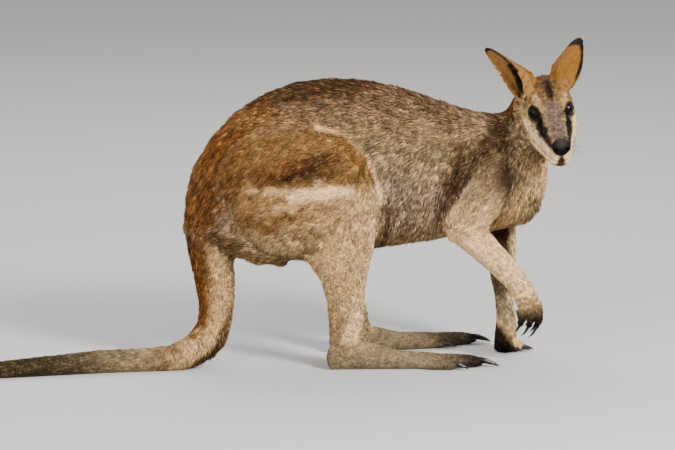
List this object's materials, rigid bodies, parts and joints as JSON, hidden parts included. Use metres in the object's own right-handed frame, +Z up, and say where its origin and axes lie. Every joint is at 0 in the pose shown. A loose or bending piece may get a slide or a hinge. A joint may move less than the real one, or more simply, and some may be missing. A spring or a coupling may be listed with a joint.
{
  "type": "agile wallaby, life-size still model",
  "caption": "Life-size still model of a male agile wallaby walking slowly on all fours, head turned to its right, tail laid along the floor.",
  "frame": {"origin": "middle of the bounding box, on the floor that the soles and the tail rest on", "axes": "+X forward along the body from tail to chest, +Y to the animal's left, +Z up"},
  "size_m": [1.1734, 0.2978, 0.4862],
  "materials": {
    "back_fur": "dense matt fur, brown, grizzled with pale tips",
    "neck_fur": "dense matt fur, greyish sandy brown with a dark diagonal patch",
    "hip_fur": "short matt fur, sandy brown with a dark smudge over a cream hip stripe",
    "rump_fur": "dense matt fur, rich rusty brown, paler towards the inside of the bend",
    "pale_fur": "short matt fur, pale sandy cream",
    "grey_fur": "short sleek fur, greyish brown",
    "face_fur": "very short fur, brown forehead, dark eye stripe and white cheek stripe",
    "ear_fur": "very short fur, tan with a black tip and edge",
    "dark_skin": "bare granular skin, near black, slightly moist",
    "claw_horn": "smooth horn, bluish black, satin",
    "eye": "wet dark brown eyeball, very glossy"
  },
  "bodies": {
    "root": {"thigh_right": "hip_fur", "shank_right": "pale_fur", "foot_right": "grey_fur", "claw_hind_fourth_right": "claw_horn", "claw_hind_fifth_right": "claw_horn", "claw_hind_third_right": "claw_horn", "claw_hind_second_right": "claw_horn", "thigh_left": "hip_fur", "shank_left": "pale_fur", "foot_left": "grey_fur", "claw_hind_fourth_left": "claw_horn", "claw_hind_fifth_left": "claw_horn", "claw_hind_third_left": "claw_horn", "claw_hind_second_left": "claw_horn", "upper_arm_right": "pale_fur", "forearm_right": "pale_fur", "hand_right": "grey_fur", "claw_fore_1_right": "claw_horn", "claw_fore_2_right": "claw_horn", "claw_fore_3_right": "claw_horn", "claw_fore_4_right": "claw_horn", "claw_fore_5_right": "claw_horn", "upper_arm_left": "pale_fur", "forearm_left": "pale_fur", "hand_left": "grey_fur", "claw_fore_1_left": "claw_horn", "claw_fore_2_left": "claw_horn", "claw_fore_3_left": "claw_horn", "claw_fore_4_left": "claw_horn", "claw_fore_5_left": "claw_horn", "head": "face_fur", "lower_jaw": "pale_fur", "nose": "dark_skin", "eye_right": "eye", "eye_left": "eye", "ear_right": "ear_fur", "ear_left": "ear_fur", "neck": "neck_fur", "trunk": "back_fur", "scrotum": "dark_skin", "tail_base": "rump_fur", "tail_middle": "grey_fur", "tail_tip": "grey_fur"}
  },
  "joints": []
}
